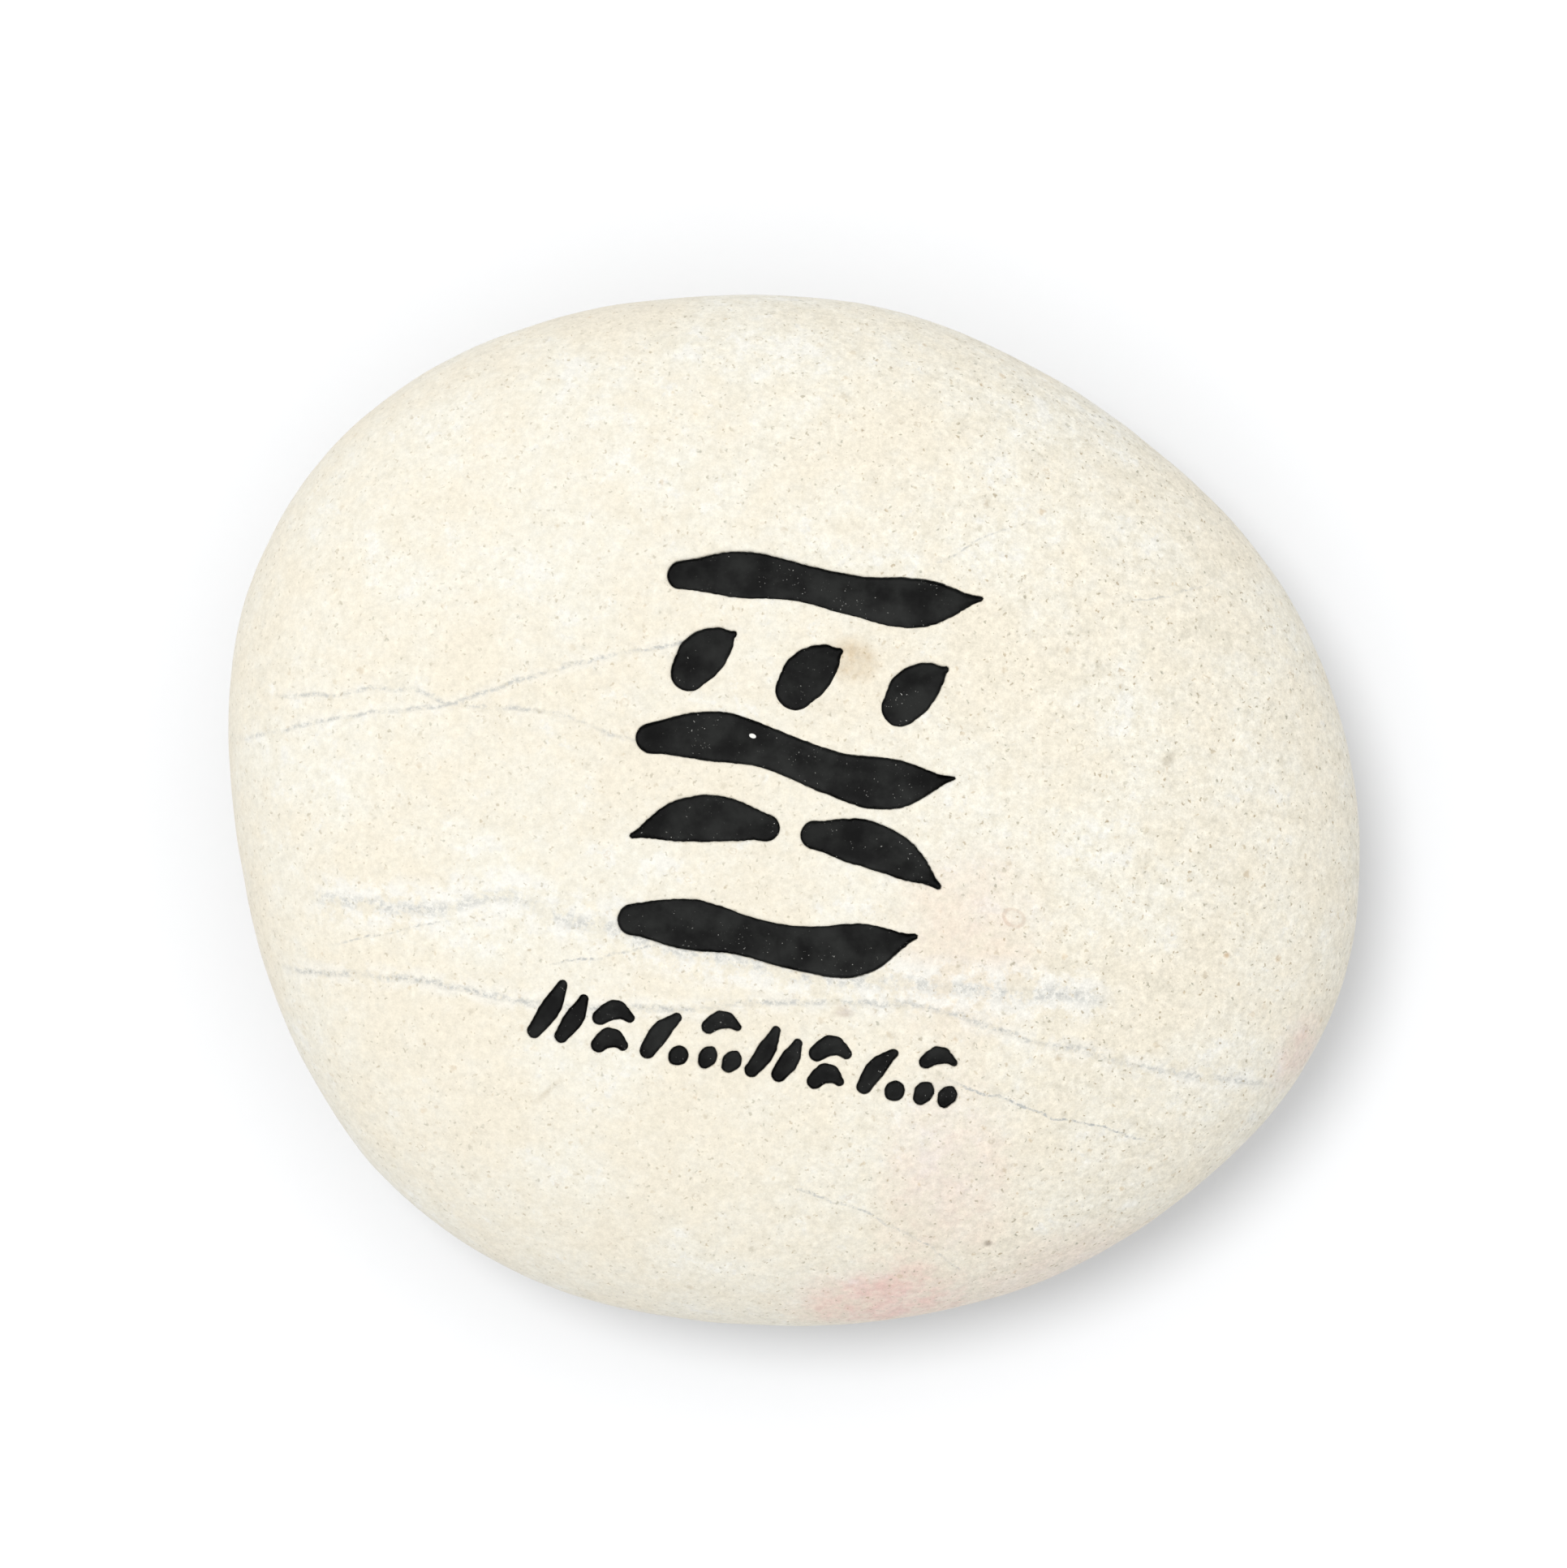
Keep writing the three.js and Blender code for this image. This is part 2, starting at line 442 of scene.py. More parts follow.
@dataclass(frozen=True)
class Pattern:
    """A soft noise: the size of its patches, how many finer layers it has and how strong those are."""

    size: float
    detail: float
    roughness: float = 0.5


@dataclass
class Signal:
    """An output socket in a shader, on which sums can be written."""

    graph: "Graph"
    socket: bpy.types.NodeSocket

    def _math(self, operation: str, *values: Any) -> "Signal":
        """Adds a Math node that works on these values."""
        return self.graph.node("ShaderNodeMath", {"operation": operation}, dict(enumerate(values)))

    def __add__(self, other: Any) -> "Signal":
        """Sum."""
        return self._math("ADD", self, other)

    def __radd__(self, other: Any) -> "Signal":
        """Sum with a number in front."""
        return self._math("ADD", other, self)

    def __sub__(self, other: Any) -> "Signal":
        """Difference."""
        return self._math("SUBTRACT", self, other)

    def __rsub__(self, other: Any) -> "Signal":
        """Difference from a number in front."""
        return self._math("SUBTRACT", other, self)

    def __mul__(self, other: Any) -> "Signal":
        """Product."""
        return self._math("MULTIPLY", self, other)

    def __rmul__(self, other: Any) -> "Signal":
        """Product with a number in front."""
        return self._math("MULTIPLY", other, self)

    def __truediv__(self, other: Any) -> "Signal":
        """Quotient."""
        return self._math("DIVIDE", self, other)

    def __abs__(self) -> "Signal":
        """Size without its sign."""
        return self._math("ABSOLUTE", self)

    def larger(self, other: Any) -> "Signal":
        """The larger of two values."""
        return self._math("MAXIMUM", self, other)

    def smaller(self, other: Any) -> "Signal":
        """The smaller of two values."""
        return self._math("MINIMUM", self, other)

    def beside(self, output: str) -> "Signal":
        """Another output of the same node, by its name."""
        return Signal(self.graph, self.socket.node.outputs[output])

    def between(self, span: Span) -> "Signal":
        """A value that goes from the first of a pair to the second as this signal goes from 0 to 1."""
        return span[0] + (span[1] - span[0]) * self

    def rise(self, low: float, high: float) -> "Signal":
        """Rises smoothly from 0 at one value to 1 at the other. For a fall, low is the larger of the two."""
        sockets = {"Value": self, "From Min": low, "From Max": high}
        return self.graph.node("ShaderNodeMapRange", {"interpolation_type": "SMOOTHSTEP"}, sockets)

    def noise(self, pattern: Pattern, output: str | int = 0) -> "Signal":
        """Soft noise from about 0.2 to 0.8, where this signal is a place in millimetres.

        Args:
            pattern: The noise's size and layers.
            output: Its output, by name or number.

        Returns:
            The value, or the colour where that is the output.
        """
        sockets = {"Vector": self, "Scale": 1 / pattern.size, "Detail": pattern.detail}
        sockets["Roughness"] = pattern.roughness
        return self.graph.node("ShaderNodeTexNoise", {}, sockets, output)


class Graph:
    """The nodes of one material, or of the sky."""

    def __init__(self, owner: bpy.types.Material | bpy.types.World) -> None:
        """Clears the owner's node tree and takes it.

        Args:
            owner: The material or the sky.
        """
        owner.use_nodes = True
        self.tree = owner.node_tree
        self.tree.nodes.clear()
        kind = "World" if isinstance(owner, bpy.types.World) else "Material"
        self.ending = f"ShaderNodeOutput{kind}"

    def node(
        self, kind: str, settings: Settings = None, sockets: Sockets = None, output: str | int = 0
    ) -> Signal:
        """Adds any node.

        Args:
            kind: The node's type.
            settings: Its settings. A curve's points are its setting "curve".
            sockets: Values or signals for its inputs, by name or number.
            output: Its output, by name or number.

        Returns:
            The output as a signal, or the first input where the node has no output.
        """
        made = self.tree.nodes.new(kind)
        for name, value in (settings or {}).items():
            if name == "curve":
                self._set_curve(made.mapping, value)
            else:
                setattr(made, name, value)
        for name, value in (sockets or {}).items():
            self._feed(made.inputs[name], value)
        return Signal(self, (made.outputs or made.inputs)[output])

    def finish(self, shader: Signal) -> None:
        """Makes a shader the one that shows."""
        self.node(self.ending, {}, {"Surface": shader})

    def _feed(self, socket: bpy.types.NodeSocket, value: Any) -> None:
        """Links a signal to an input, or sets the input's own value.

        Args:
            socket: The input.
            value: A signal, a number, a colour or a vector.
        """
        if isinstance(value, Signal):
            self.tree.links.new(value.socket, socket)
        elif socket.type == "RGBA":
            socket.default_value = (*value, 1.0)
        else:
            socket.default_value = value

    @staticmethod
    def _set_curve(mapping: bpy.types.CurveMapping, points: Sequence[Span]) -> None:
        """Gives a curve its points.

        Args:
            mapping: The node's curve.
            points: The points from left to right, each from 0 to 1 both ways.
        """
        curve = mapping.curves[0]
        while len(curve.points) < len(points):
            curve.points.new(1.0, 1.0)
        for point, place in zip(curve.points, points):
            point.location = place
        mapping.update()

    def attribute(self, name: str) -> Signal:
        """A number that the mesh holds at each of its points."""
        return self.node("ShaderNodeAttribute", {"attribute_name": name}, output="Fac")

    def vector(self, operation: str, sockets: Sockets, output: str | int = 0) -> Signal:
        """Adds a Vector Math node."""
        return self.node("ShaderNodeVectorMath", {"operation": operation}, sockets, output)

    def blend(self, share: Signal | float, first: Any, second: Any, kind: str = "MIX") -> Signal:
        """Mixes two colours.

        Args:
            share: Share of the second colour.
            first: The colour where the share is 0.
            second: The colour where the share is 1.
            kind: How they are mixed.

        Returns:
            The mixed colour.
        """
        settings = {"data_type": "RGBA", "blend_type": kind}
        return self.node("ShaderNodeMix", settings, {0: share, 6: first, 7: second}, output=2)

    def surface(self, sockets: Sockets) -> Signal:
        """Adds a Principled shader."""
        return self.node("ShaderNodeBsdfPrincipled", {}, sockets)

    def bump(self, height: Signal, strength: float) -> Signal:
        """A normal that follows heights in millimetres."""
        return self.node("ShaderNodeBump", {}, {"Strength": strength, "Distance": MM, "Height": height})


@dataclass(frozen=True)
class Vein:
    """A seam of grey mineral that shows as a line across the face, with a thread along its middle.

    Its strength, the strength of the white halo beside it and how patchy it is are shares.
    """

    course: tuple[Span, ...]
    width: float
    strength: float
    halo: float = 0.0
    patchy: float = 0.6
    core: float = 0.2
    haze: float = 0.25
    thread: float = 1.3
    thread_width: Span = (0.13, 0.03)
    halo_reach: float = 3.2
    fade: Span = (1.0, 2.0)

    def masks(
        self, share: Signal, x: Signal, y: Signal, flecks: Signal, broken: Signal
    ) -> tuple[Signal, Signal | None]:
        """Builds the strength of the seam and of its halo.

        Args:
            share: How far along the field of the courses the place is, from 0 to 1.
            x: The place along the field, in millimetres.
            y: The place across it.
            flecks: The flecks that the seam is made of.
            broken: Where it is whole.

        Returns:
            The two strengths. The second is None where the seam has no halo.
        """
        field_size = 2 * FIELD_REACH
        points = [tuple((value + FIELD_REACH) / field_size for value in point) for point in self.course]
        points = [(0.0, points[0][1]), *points, (1.0, points[-1][1])]
        course = x.graph.node("ShaderNodeFloatCurve", {"curve": points}, {"Value": share})
        off = abs(y - (course * field_size - FIELD_REACH))
        start, end = self.course[0][0], self.course[-1][0]
        before, after = self.fade
        ends = x.rise(start - before, start + after) * x.rise(end + before, end - after)
        band = off.rise(self.width, self.core * self.width) * flecks.between((self.haze, 1.0))
        line = band.larger(self.thread * off.rise(*self.thread_width) * flecks)
        seam = self.strength * line * ends * broken.between((1 - self.patchy, 1.0))
        if not self.halo:
            return seam, None
        return seam, self.halo * off.rise(self.halo_reach * self.width, self.width) * ends


@dataclass(frozen=True)
class Mark:
    """A patch, spot, scratch or ring of colour in the stone. Its reach is half its length, width and depth.

    Where a mark is patchy it strays from its round shape and is broken up.
    """

    place: Place
    reach: Place
    colour: Colour
    strength: float
    lean: float = 0.0
    patchy: float = 0.6
    ring: bool = False
    stray: float = 2.4
    fall: Span = (1.15, 0.2)
    ring_radius: float = 0.85
    ring_band: Span = (0.26, 0.06)
    broken: Span = (0.34, 0.66)

    def away(self, at: Signal) -> Signal:
        """Builds the distance from the middle of the mark.

        Args:
            at: The place, in millimetres.

        Returns:
            The distance, which is 1 at the mark's reach.
        """
        turn = (0, 0, math.radians(self.lean))
        sockets = {0: at, "Location": self.place, "Rotation": turn, "Scale": self.reach}
        unit = at.graph.node("ShaderNodeMapping", {"vector_type": "TEXTURE"}, sockets)
        return at.graph.vector("LENGTH", {0: unit}, "Value")

    def mask(self, at: Signal, clouds: Signal, wisps: Signal) -> Signal:
        """Builds the strength of the mark.

        Args:
            at: The place, in millimetres.
            clouds: The broad clouding, which bends its outline.
            wisps: The fine clouding, which breaks it up.

        Returns:
            The strength.
        """
        away = self.away(at)
        if self.patchy:
            away = away + self.stray * self.patchy * (clouds - NOISE_MIDDLE)
        near = abs(away - self.ring_radius).rise(*self.ring_band) if self.ring else away.rise(*self.fall)
        if not self.patchy:
            return self.strength * near
        return self.strength * near * wisps.rise(*self.broken).between((1 - self.patchy, 1.0))


@dataclass(frozen=True)
class Speckle:
    """One size of the grains, or of the rings of tiny fossils, in the stone. A share of the cells has one."""

    cell: float
    radius: float
    share: float
    warm: Colour
    cool: Colour
    strength: float
    ring: bool = False
    smallest: float = 0.4
    share_edge: float = 0.1
    fall: Span = (1.0, 0.3)
    ring_radius: float = 0.8
    ring_band: Span = (0.3, 0.05)

    def sprinkle(self, at: Signal, strong: Signal, tone: Signal) -> Signal:
        """Sprinkles the grains over a colour.

        Args:
            at: The place, in millimetres.
            strong: How strong they are at each place.
            tone: The colour that they lie in.

        Returns:
            The colour with the grains.
        """
        graph = at.graph
        away = graph.node("ShaderNodeTexVoronoi", {}, {"Vector": at, "Scale": 1 / self.cell})
        chance = graph.node("ShaderNodeSeparateColor", {}, {0: away.beside("Color")})
        size, hue = chance.beside("Green"), chance.beside("Blue")
        span = away / (size.between((self.smallest, 1.0)) * (self.radius / self.cell))
        near = abs(span - self.ring_radius).rise(*self.ring_band) if self.ring else span.rise(*self.fall)
        mask = self.strength * near * chance.rise(self.share, self.share - self.share_edge) * strong
        return graph.blend(mask, tone, graph.blend(hue, self.warm, self.cool))


@dataclass(frozen=True)
class StoneFinish:
    """Cream limestone smoothed by water, with beige and white clouding, grey seams, pink stains and fine
    grains.

    A pair is the span of a noise over which something sets in, unless its comment says otherwise.
    """

    cream: Colour = linear(242, 234, 215)
    white: Colour = linear(243, 239, 225)
    blotch: Colour = linear(245, 243, 235)
    drab: Colour = linear(233, 226, 207)
    seam: Colour = linear(190, 191, 187)
    dust: Colour = linear(150, 146, 138)
    paleness: float = 0.605
    roughness: float = 0.6
    clouds: Pattern = Pattern(9, 7, 0.74)
    wisps: Pattern = Pattern(1.5, 4, 0.72)
    fine: Pattern = Pattern(0.5, 3, 0.9)
    pores: Pattern = Pattern(0.7, 3, 0.65)
    pore_height: float = 0.09
    pore_strength: float = 0.6
    white_clouds: Span = (0.38, 0.62)
    drab_wisps: Span = (0.5, 0.38)
    blotch_cores: Span = (0.55, 0.61)
    blotch_share: float = 0.7
    ring_wisps: Span = (0.45, 0.55)
    # The stone is plainest at one place near its left rim, and gets drabber, grainier and more uneven in tone
    # towards the right, over these distances from it. Each pair of shares is for the plainest and the
    # farthest stone.
    plainest: Place = (-30.0, -6.0, 18.0)
    away_reach: Span = (26.0, 60.0)
    drab_share: Span = (0.35, 0.65)
    grain_share: Span = (0.6, 1.0)
    fine_contrast: Span = (0.5, 0.84)
    # A fine noise draws the grains out of their round shape, by this much.
    bend: Pattern = Pattern(0.3, 1)
    bend_reach: float = 0.5
    # Dust lies on the stone close to the strokes.
    dust_share: float = 0.05
    dust_reach: float = 0.4
    dust_wisps: Span = (0.35, 0.6)
    # The seams wander, and below the waist they run on into the stone at a slant.
    drift: Pattern = Pattern(4, 5, 0.62)
    drift_reach: float = 1.6
    waist: float = 11.0
    slant: float = 0.5
    flecks: Pattern = Pattern(0.33, 3, 0.75)
    fleck_cores: Span = (0.42, 0.56)
    whole_wisps: Span = (0.4, 0.56)
    veins: tuple[Vein, ...] = (
        Vein(((-36, -1), (-30.9, 0.9), (-22.3, 3.6), (-15.5, 7.1), (-8.2, 9.8), (-5, 10.8)), 0.26, 0.65, 0.3),
        Vein(((-34, 2), (-25.5, 3.9), (-22.3, 3.6), (-16, 3.9), (-11.7, 3), (-1, 3.6)), 0.24, 0.6, 0.2),
        Vein(
            ((-29.7, -10), (-21.2, -9.5), (-17.2, -8), (-12.9, -8.6), (-2, -9.7), (22, -8.3)),
            *(0.75, 0.62, 0.9, 0.75),
        ),
        Vein(
            ((-31, -15.1), (-20.4, -14.2), (-12.5, -14.3), (9.8, -10.6), (21, -11.9), (34, -12.1)),
            *(0.34, 0.65, 0.5),
        ),
        Vein(((-27.5, -13), (-26.6, -12.6), (-22, -10.7), (-20, -10)), 0.09, 0.6),
        Vein(((-13.5, -12), (-12.9, -11.7), (-8, -9.8), (-6, -9.3)), 0.09, 0.8),
        Vein(((12, -14.8), (13.7, -15.2), (19.7, -16.1), (26.3, -16.8)), 0.11, 0.9),
        Vein(((3.1, -23.3), (11.8, -25.2), (16.5, -27.4)), 0.12, 0.6),
        Vein(((5.7, 17.1), (10.4, 20.3), (12, 21)), 0.12, 0.5),
        Vein(((18.3, 17), (23.4, 19), (25, 20)), 0.12, 0.5),
    )
    # Five pink stains, a beige one, four spots, a scratch and a ring.
    marks: tuple[Mark, ...] = (
        Mark((12, -5.5, 24.4), (6, 7.5, 9), linear(238, 214, 198), 0.4),
        Mark((13.5, -21, 21.5), (5, 8, 9), linear(238, 212, 200), 0.45, lean=10),
        Mark((11, -30, 14.5), (7, 3.2, 9), linear(236, 186, 180), 0.65, lean=6, patchy=0.7),
        Mark((22, -26.5, 12), (8, 5, 8), linear(236, 212, 204), 0.4, lean=30, patchy=0.5),
        Mark((35.1, -10, 14.4), (2.5, 3.5, 4), linear(232, 196, 188), 0.5),
        Mark((2.1, 10.4, 24.9), (1.9, 1.5, 2), linear(206, 182, 144), 0.75),
        Mark((23, 7.5, 22.8), (0.8, 0.5, 0.8), linear(150, 135, 108), 0.7, lean=60),
        Mark((5.3, -11.6, 24.5), (0.75, 0.5, 0.8), linear(170, 144, 130), 0.6),
        Mark((28.9, -4.2, 20.8), (0.3, 0.26, 0.4), linear(184, 146, 96), 0.7, patchy=0.0),
        Mark((17, -25.1, 18.1), (0.36, 0.3, 0.4), linear(140, 128, 112), 0.7, patchy=0.3),
        Mark((-12.2, -19.5, 22.9), (1.6, 0.28, 0.8), linear(176, 158, 128), 0.6, lean=55, patchy=0.7),
        Mark((14.9, -4, 24.3), (0.85, 0.62, 0.8), linear(206, 180, 160), 0.55, -20, ring=True),
    )
    grains: tuple[Speckle, ...] = (
        Speckle(0.47, 0.15, 0.95, linear(176, 156, 122), linear(164, 164, 146), 0.85),
        Speckle(0.8, 0.21, 0.7, linear(204, 180, 142), linear(186, 182, 162), 0.6),
        Speckle(1.7, 0.36, 0.6, linear(212, 186, 150), linear(196, 192, 174), 0.6),
    )
    rings: Speckle = Speckle(1.9, 0.32, 0.7, linear(206, 184, 154), linear(194, 188, 168), 0.5, ring=True)

    def colour(self, at: Signal) -> Signal:
        """Builds the stone's colour.

        Args:
            at: The place, in millimetres.

        Returns:
            The colour.
        """
        graph, clouds, wisps = at.graph, at.noise(self.clouds), at.noise(self.wisps)
        # Drabber, grainier and more uneven in tone towards the right, away from one place near the left rim.
        away_share = graph.vector("DISTANCE", {0: at, 1: self.plainest}, "Value").rise(*self.away_reach)
        tone = graph.blend(clouds.rise(*self.white_clouds), self.cream, self.white)
        tone = graph.blend(away_share.between(self.drab_share) * wisps.rise(*self.drab_wisps), tone, self.drab)
        cores = (0.5 * clouds + 0.5 * wisps).rise(*self.blotch_cores)
        tone = graph.blend(self.blotch_share * cores, tone, self.blotch)
        for mark in self.marks:
            tone = graph.blend(mark.mask(at, clouds, wisps), tone, mark.colour)
        seams, halos = self._seams(at, wisps)
        tone = graph.blend(halos, tone, self.blotch)
        tone = graph.blend(seams, tone, self.seam)
        stray = at.noise(self.bend, "Color")
        bent = graph.vector("MULTIPLY_ADD", {0: stray, 1: (self.bend_reach,) * 3, 2: at})
        strong = away_share.between(self.grain_share)
        for grain in self.grains:
            tone = grain.sprinkle(bent, strong, tone)
        tone = self.rings.sprinkle(bent, strong * wisps.rise(*self.ring_wisps), tone)
        dusty = self.dust_share * graph.attribute(GAP_LAYER).rise(self.dust_reach, 0.0)
        tone = graph.blend(dusty * wisps.rise(*self.dust_wisps), tone, self.dust)
        uneven = away_share.between(self.fine_contrast) * (at.noise(self.fine) - NOISE_MIDDLE)
        shade = self.paleness * (1.0 + uneven)
        grey = graph.node("ShaderNodeCombineColor", {}, {0: shade, 1: shade, 2: shade})
        return graph.blend(1.0, tone, grey, kind="MULTIPLY")

    def _seams(self, at: Signal, wisps: Signal) -> tuple[Signal, Signal]:
        """Builds the strength of all the seams.

        Args:
            at: The place, in millimetres.
            wisps: The fine clouding, which breaks the seams up.

        Returns:
            The strength of the seams and of their halos.
        """
        x = at.graph.node("ShaderNodeSeparateXYZ", {}, {0: at})
        share = (x + FIELD_REACH) / (2 * FIELD_REACH)
        wander = self.drift_reach * (at.noise(self.drift) - NOISE_MIDDLE)
        y = x.beside("Y") + wander + self.slant * (x.beside("Z") - self.waist).smaller(0)
        flecks = at.noise(self.flecks).rise(*self.fleck_cores)
        broken = wisps.rise(*self.whole_wisps)
        seams, halos = None, None
        for vein in self.veins:
            seam, halo = vein.masks(share, x, y, flecks, broken)
            seams = seams.larger(seam) if seams else seam
            if halo:
                halos = halos.larger(halo) if halos else halo
        return seams, halos * broken

    def shader(self, at: Signal) -> Signal:
        """Builds the stone's shader at a place."""
        bump = at.graph.bump(self.pore_height * at.noise(self.pores), self.pore_strength)
        return at.graph.surface({"Base Color": self.colour(at), "Roughness": self.roughness, "Normal": bump})


@dataclass(frozen=True)
class PaintFinish:
    """Satin black paint in the engraving, with random lighter patches of painted sheen, pale dust in it and
    one small chip.
    """

    black: Colour = linear(5, 5, 5)
    # The lighter grey of the patches of painted sheen.
    sheen_grey: Colour = linear(31, 32, 31)
    dust: Colour = linear(165, 165, 160)
    roughness: float = 0.42
    gloss: float = 0.14
    # The paint ends raggedly, this far inside the lip of each stroke.
    edge: float = -0.03
    edge_soft: float = 0.02
    ragged: Pattern = Pattern(0.3, 3, 0.65)
    ragged_reach: float = 0.07
    coat: Pattern = Pattern(2.6, 4, 0.6)
    sheen_spread: Span = (0.33, 0.67)
    flecks: Pattern = Pattern(0.15, 2, 0.6)
    fleck_cores: Span = (0.85, 0.95)
    patches: Pattern = Pattern(1.5, 3, 0.6)
    patch_pull: float = 0.3
    dusty_patches: Span = (0.3, 0.6)
    chip: Mark = Mark((-3.3, 4.6, 24), (0.26, 0.16, 2), linear(215, 215, 211), 1.0, -10, fall=(1.0, 0.7))
    stipple: Pattern = Pattern(0.25, 1)
    stipple_height: float = 0.012
    waves: Pattern = Pattern(1.5, 1)
    wave_height: float = 0.07
    bump_strength: float = 0.5

    def coverage(self, at: Signal) -> Signal:
        """Builds the share of the surface that the paint covers at a place."""
        gap = at.graph.attribute(GAP_LAYER) + self.ragged_reach * (at.noise(self.ragged) - NOISE_MIDDLE)
        return gap.rise(self.edge + self.edge_soft, self.edge - self.edge_soft)

    def colour(self, at: Signal) -> Signal:
        """Builds the paint's colour.

        Args:
            at: The place, in millimetres.

        Returns:
            The colour.
        """
        graph, patches = at.graph, at.noise(self.patches)
        flecks = (at.noise(self.flecks) + self.patch_pull * patches).rise(*self.fleck_cores)
        # Random patches of lighter grey on the black: painted sheen.
        tone = graph.blend(at.noise(self.coat).rise(*self.sheen_spread), self.black, self.sheen_grey)
        tone = graph.blend(flecks * patches.rise(*self.dusty_patches), tone, self.dust)
        return graph.blend(self.chip.away(at).rise(*self.chip.fall), tone, self.chip.colour)

    def relief(self, at: Signal) -> Signal:
        """Builds the normal of the coat at a place, from its fine stipple and its waves."""
        stipple = self.stipple_height * at.noise(self.stipple)
        return at.graph.bump(stipple + self.wave_height * at.noise(self.waves), self.bump_strength)

    def shader(self, at: Signal) -> Signal:
        """Builds the paint's shader at a place."""
        sockets = {"Base Color": self.colour(at), "Roughness": self.roughness, "Normal": self.relief(at)}
        return at.graph.surface(sockets | {"Specular IOR Level": self.gloss})


@dataclass
class EngravedPebble:
    """The stone with its painted engraving: one piece."""

    form: PebbleForm = field(default_factory=PebbleForm)
    engraving: Engraving = field(default_factory=Engraving)
    wear: WaterWear = field(default_factory=WaterWear)
    stone: StoneFinish = field(default_factory=StoneFinish)
    paint: PaintFinish = field(default_factory=PaintFinish)
    ball_divisions: int = 6
    coarse_below: float = -0.6
    upper_share: float = 0.7
    engraved_margin: float = 1.1
    edge_margin: float = 0.42
    snap_share: float = 0.2
    far_gap: float = 5.0
    gap_digits: int = 4
    on_level: float = 1e-5
    # The mesh while it is built, and its layer of each point's distance from the engraving's edge.
    mesh: bmesh.types.BMesh = field(init=False)
    layer: bmesh.types.BMLayerItem = field(init=False)

    def build(self) -> bpy.types.Object:
        """Builds the piece and dresses it.

        Returns:
            The piece, at the origin, with its place in its mesh.
        """
        self.mesh = bmesh.new()
        self.layer = self.mesh.verts.layers.float.new(GAP_LAYER)
        bmesh.ops.create_icosphere(self.mesh, subdivisions=self.ball_divisions, radius=1.0)
        self._refine(self._is_high)
        self._onto_stone()
        self._measure()
        for wanted in (self._is_near_engraving, self._is_near_edge):
            self._refine(wanted)
            self._settle()
            self._measure()
        for number, level in enumerate(self.engraving.levels):
            self._cut_along(level, self.engraving.levels[:number])
        self._sink()
        self._wear_down()
        self._fit()
        for face in self.mesh.faces:
            face.smooth = True
        return put("river_pebble", as_data(self.mesh, "pebble", self._material()))

    def _is_high(self, edge: bmesh.types.BMEdge) -> bool:
        """Whether an edge of the bare ball is above the part that only the floor sees."""
        return max(vert.co.z for vert in edge.verts) > self.coarse_below

    def _is_near_engraving(self, edge: bmesh.types.BMEdge) -> bool:
        """Whether an edge of the mesh is in a stroke or close to one."""
        return min(vert[self.layer] for vert in edge.verts) < self.engraved_margin

    def _is_near_edge(self, edge: bmesh.types.BMEdge) -> bool:
        """Whether an edge of the mesh is close to the edge of a stroke, or crosses it."""
        first, second = (vert[self.layer] for vert in edge.verts)
        return min(abs(first), abs(second)) < self.edge_margin or first * second < 0

    def _refine(self, wanted: Callable[[bmesh.types.BMEdge], bool]) -> None:
        """Halves the edges that are wanted.

        Args:
            wanted: Whether an edge is one.
        """
        edges = [edge for edge in self.mesh.edges if wanted(edge)]
        bmesh.ops.subdivide_edges(self.mesh, edges=edges, cuts=1, use_grid_fill=True)
        self._split_wide_faces()

    def _split_wide_faces(self) -> None:
        """Leaves only triangles."""
        wide = [face for face in self.mesh.faces if len(face.verts) > 3]
        bmesh.ops.triangulate(self.mesh, faces=wide)

    def _onto_stone(self) -> None:
        """Moves the ball's points onto the stone."""
        ball = np.array([vert.co for vert in self.mesh.verts])
        ball /= np.linalg.norm(ball, axis=1)[:, None]
        for vert, place in zip(self.mesh.verts, self.form.from_ball(ball)):
            vert.co = place

    def _upper(self) -> list[bmesh.types.BMVert]:
        """Lists the points of the upper face, well inside the rim."""
        return [vert for vert in self.mesh.verts if vert.co.z > self.upper_share * self.form.thickness]

    def _settle(self) -> None:
        """Puts the upper face's points back onto its curve."""
        upper = self._upper()
        heights = self.form.face_height(np.array([vert.co for vert in upper]))
        for vert, height in zip(upper, heights):
            vert.co.z = height

    def _measure(self) -> None:
        """Writes each point's distance from the engraving's blasted edge into the layer."""
        for vert in self.mesh.verts:
            vert[self.layer] = self.far_gap
        upper = self._upper()
        gaps, _ = self.engraving.gaps(np.array([vert.co.xy for vert in upper]))
        for vert, gap in zip(upper, gaps):
            vert[self.layer] = min(self.far_gap, gap + self.engraving.raggedness(vert.co))

    def _cut_along(self, level: float, earlier: Sequence[float]) -> None:
        """Lays a line of edges where the distance from the engraving is a level.

        Args:
            level: The distance.
            earlier: The levels whose lines are already there, and stay.
        """
        crossing = [edge for edge in self.mesh.edges if self._crossing(edge, level)]
        for edge in crossing:
            share = self._crossing(edge, level)
            near, far = edge.verts if share and share < 0.5 else reversed(edge.verts)
            reach = min(share, 1 - share)
            fixed = round(near[self.layer], self.gap_digits) in earlier
            if 0 < reach < self.snap_share and not fixed:
                near.co = near.co.lerp(far.co, reach)
                near[self.layer] = level
        for edge in crossing:
            share = self._crossing(edge, level)
            if share:
                _, vert = bmesh.utils.edge_split(edge, edge.verts[0], share)
                vert[self.layer] = level
        line = [vert for vert in self.mesh.verts if round(vert[self.layer], self.gap_digits) == level]
        bmesh.ops.connect_verts(self.mesh, verts=line)
        self._split_wide_faces()

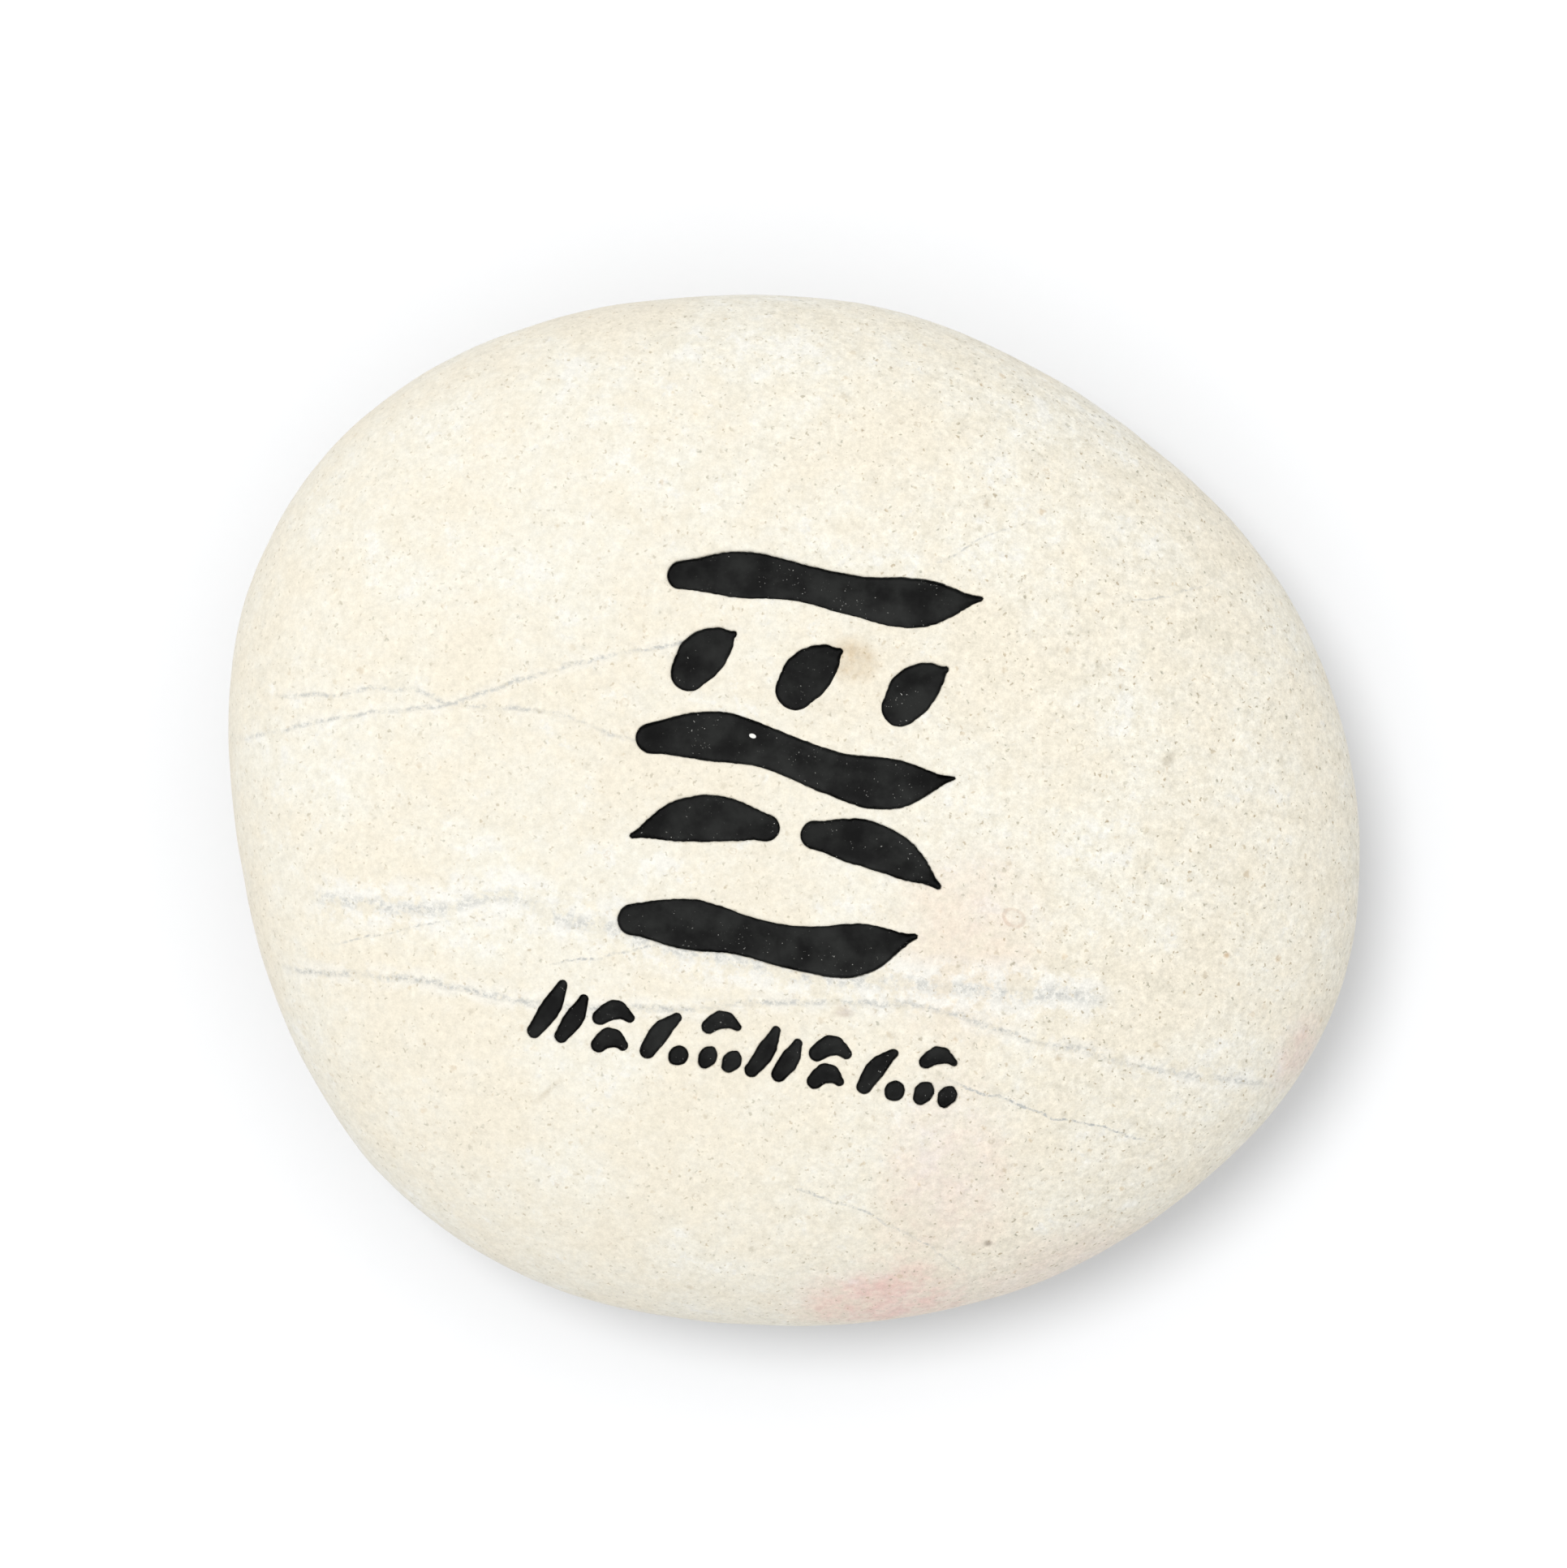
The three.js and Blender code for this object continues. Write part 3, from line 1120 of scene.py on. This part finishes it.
    def _crossing(self, edge: bmesh.types.BMEdge, level: float) -> float:
        """Finds where an edge of the mesh crosses a level.

        Args:
            edge: The edge.
            level: The distance from the engraving.

        Returns:
            The share of the way along the edge, or 0 where it doesn't cross.
        """
        low, high = (vert[self.layer] - level for vert in edge.verts)
        if low * high >= 0 or min(abs(low), abs(high)) < self.on_level:
            return 0.0
        return low / (low - high)

    def _sink(self) -> None:
        """Sinks the strokes below the upper face."""
        self._settle()
        upper = self._upper()
        _, depth = self.engraving.gaps(np.array([vert.co.xy for vert in upper]))
        sunken = self.engraving.sunken(np.array([vert[self.layer] for vert in upper]), depth)
        for vert, drop in zip(upper, sunken):
            vert.co.z -= drop

    def _wear_down(self) -> None:
        """Gives the whole surface its gentle unevenness."""
        self.mesh.normal_update()
        moves = [vert.normal * self.wear.height(vert.co) for vert in self.mesh.verts]
        for vert, move in zip(self.mesh.verts, moves):
            vert.co += move

    def _fit(self) -> None:
        """Brings the mesh to metres and exactly into the solid's box."""
        places = np.array([vert.co for vert in self.mesh.verts])
        low, high = places.min(axis=0), places.max(axis=0)
        box_low, box_high = (np.array(corner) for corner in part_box(NODE))
        places = box_low + (places - low) * (box_high - box_low) / (high - low)
        for vert, place in zip(self.mesh.verts, places):
            vert.co = place

    def _material(self) -> bpy.types.Material:
        """Makes the material: bare stone, and paint where the engraving is.

        Returns:
            The material.
        """
        material = bpy.data.materials.new("painted_stone")
        graph = Graph(material)
        coords = graph.node("ShaderNodeTexCoord", output="Object")
        at = graph.vector("SCALE", {0: coords, "Scale": 1 / MM})
        sockets = {0: self.paint.coverage(at), 1: self.stone.shader(at), 2: self.paint.shader(at)}
        graph.finish(graph.node("ShaderNodeMixShader", {}, sockets))
        return material


@dataclass
class Studio:
    """The pale floor, the soft light and the camera straight above the stone."""

    lens: float = 120.0
    sensor: float = 36.0
    view_across: float = 103.1
    focus_height: float = 11.0
    roll: float = 9.5
    offset: Span = (-0.54, 2.04)
    nearest: float = 10.0
    key_azimuth: float = 140.0
    key_elevation: float = 72.0
    key_distance: float = 2500.0
    key_size: float = 900.0
    key_power: float = 33.0
    sky: float = 1.37
    gap_elevation: float = 80.0
    gap_reach: float = 30.0
    gap_core: float = 0.4
    gap_dark: float = 0.5
    floor_size: float = 6000.0
    floor_colour: Colour = (0.625, 0.63, 0.64)
    floor_roughness: float = 0.9

    def build(self) -> None:
        """Builds everything around the stone."""
        self._floor()
        self._sky()
        self._key()
        self._camera()
        bpy.context.scene.view_settings.view_transform = "Standard"

    def _floor(self) -> None:
        """Lays a plain pale floor."""
        mesh = bmesh.new()
        bmesh.ops.create_grid(mesh, x_segments=1, y_segments=1, size=self.floor_size / 2 * MM)
        material = bpy.data.materials.new("pale_floor")
        graph = Graph(material)
        sockets = {"Base Color": self.floor_colour, "Roughness": self.floor_roughness}
        graph.finish(graph.surface(sockets | {"Specular IOR Level": 0.0}))
        floor = put("floor", as_data(mesh, "floor", material))

    def _sky(self) -> None:
        """Spreads a pale sky with a dim gap near the camera, on the side away from the key light."""
        world = bpy.data.worlds.new("pale_sky")
        graph = Graph(world)
        toward = graph.node("ShaderNodeTexCoord", output="Generated")
        gap = tuple(self._way(self.key_azimuth + 180, self.gap_elevation))
        near = graph.vector("DOT_PRODUCT", {0: toward, 1: gap}, "Value")
        edge, core = (math.cos(math.radians(share * self.gap_reach)) for share in (1, self.gap_core))
        strength = self.sky * (1 - self.gap_dark * near.rise(edge, core))
        graph.finish(graph.node("ShaderNodeBackground", {}, {"Color": WHITE, "Strength": strength}))
        bpy.context.scene.world = world

    def _key(self) -> None:
        """Hangs one soft light at the upper left."""
        light = bpy.data.lights.new("key", "AREA")
        light.shape = "DISK"
        light.size = self.key_size * MM
        light.energy = self.key_power
        key = put("key", light)
        key.visible_glossy = False
        way = self._way(self.key_azimuth, self.key_elevation)
        key.location = way * self.key_distance * MM
        key.rotation_euler = way.to_track_quat("Z", "Y").to_euler()

    def _way(self, azimuth: float, elevation: float) -> Vector:
        """Direction towards a place in the sky, with its azimuth counted from the right of the picture."""
        turn, rise = math.radians(azimuth + self.roll), math.radians(elevation)
        return Vector((math.cos(rise) * math.cos(turn), math.cos(rise) * math.sin(turn), math.sin(rise)))

    def _camera(self) -> None:
        """Hangs the camera straight above, turned a little, as the engraving runs downhill in view."""
        camera = bpy.data.cameras.new("camera")
        camera.lens = self.lens
        camera.sensor_width = self.sensor
        camera.clip_start = self.nearest * MM
        eye = put("camera", camera)
        turn = Matrix.Rotation(math.radians(self.roll), 4, "Z")
        away = self.view_across * self.lens / self.sensor + self.focus_height
        eye.matrix_world = turn @ Matrix.Translation(Vector((*self.offset, away)) * MM)
        bpy.context.scene.camera = eye


def main() -> None:
    """Builds the stone and the studio around it."""
    logging.basicConfig(level=logging.INFO, format="%(name)s: %(message)s")
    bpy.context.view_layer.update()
    piece = EngravedPebble().build()
    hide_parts(NODE)
    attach(piece, BODY)
    log.info("%s: %d triangles", piece.name, len(piece.data.polygons))
    Studio().build()
    log.info("studio: floor, sky, key light and camera")


if __name__ == "__main__":
    main()
